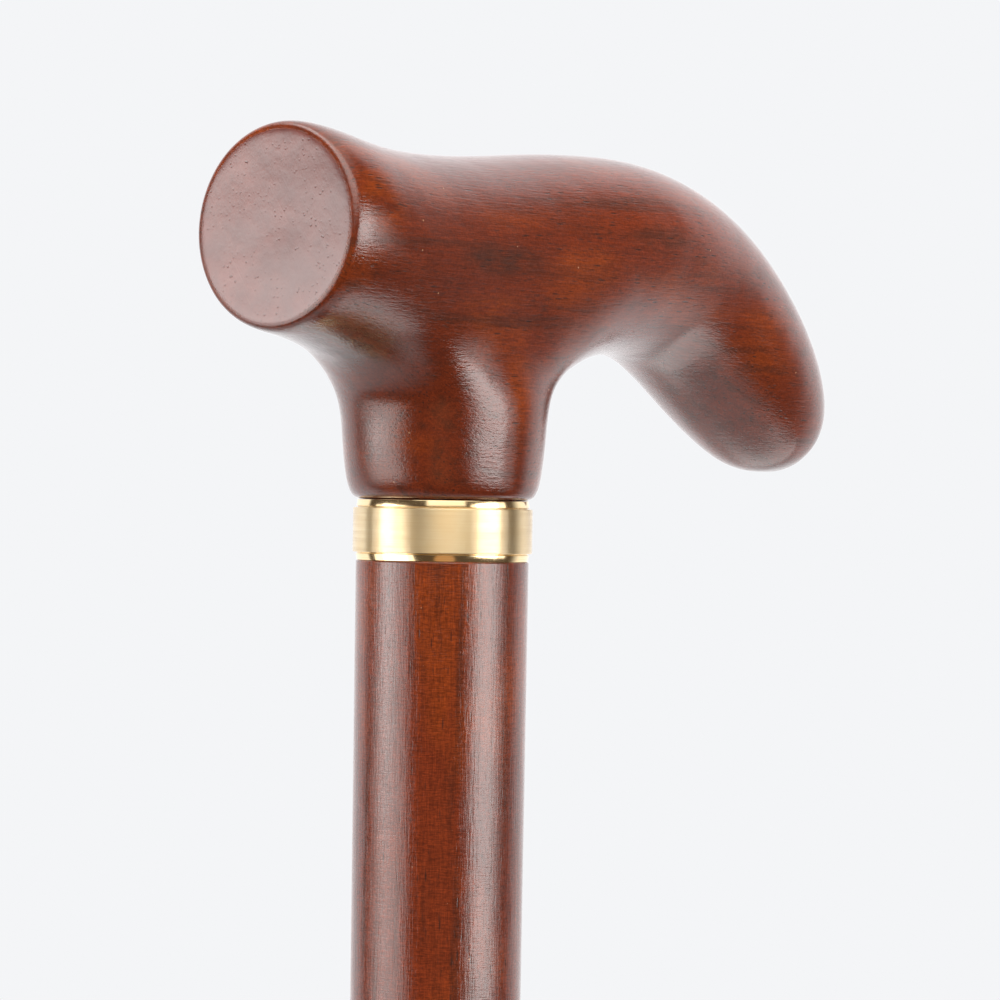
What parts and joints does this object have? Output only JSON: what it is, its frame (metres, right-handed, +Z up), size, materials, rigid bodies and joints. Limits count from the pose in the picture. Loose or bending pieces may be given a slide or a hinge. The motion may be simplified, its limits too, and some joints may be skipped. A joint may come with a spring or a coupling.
{
  "type": "walking cane",
  "caption": "Walking cane with a carved wooden derby-style handle, brass collar, tapered one-piece wooden shaft and a rubber ferrule.",
  "frame": {"origin": "centre of the ferrule's ground face, where the cane meets the floor", "axes": "+Z up along the shaft's axis; +X towards the rounded palm end of the handle, so the flat nose faces -X; the cane is symmetric about the XZ plane"},
  "size_m": [0.108, 0.034, 0.92],
  "materials": {
    "handle_wood": "satin lacquer over red-brown stain",
    "shaft_wood": "satin lacquer over red-brown stain",
    "brass": "brushed band between polished rims",
    "steel": "zinc plated",
    "rubber": "matt moulded"
  },
  "bodies": {
    "cane": {"handle": "handle_wood", "collar": "brass", "shaft": "shaft_wood", "joining_rod": "steel"},
    "tip": {"ferrule": "rubber", "ferrule_washer": "steel"}
  },
  "joints": [
    {"name": "ferrule_pull", "type": "slide", "parent": "cane", "child": "tip", "axis": [0, 0, -1], "range_m": [0, 0.035]}
  ]
}
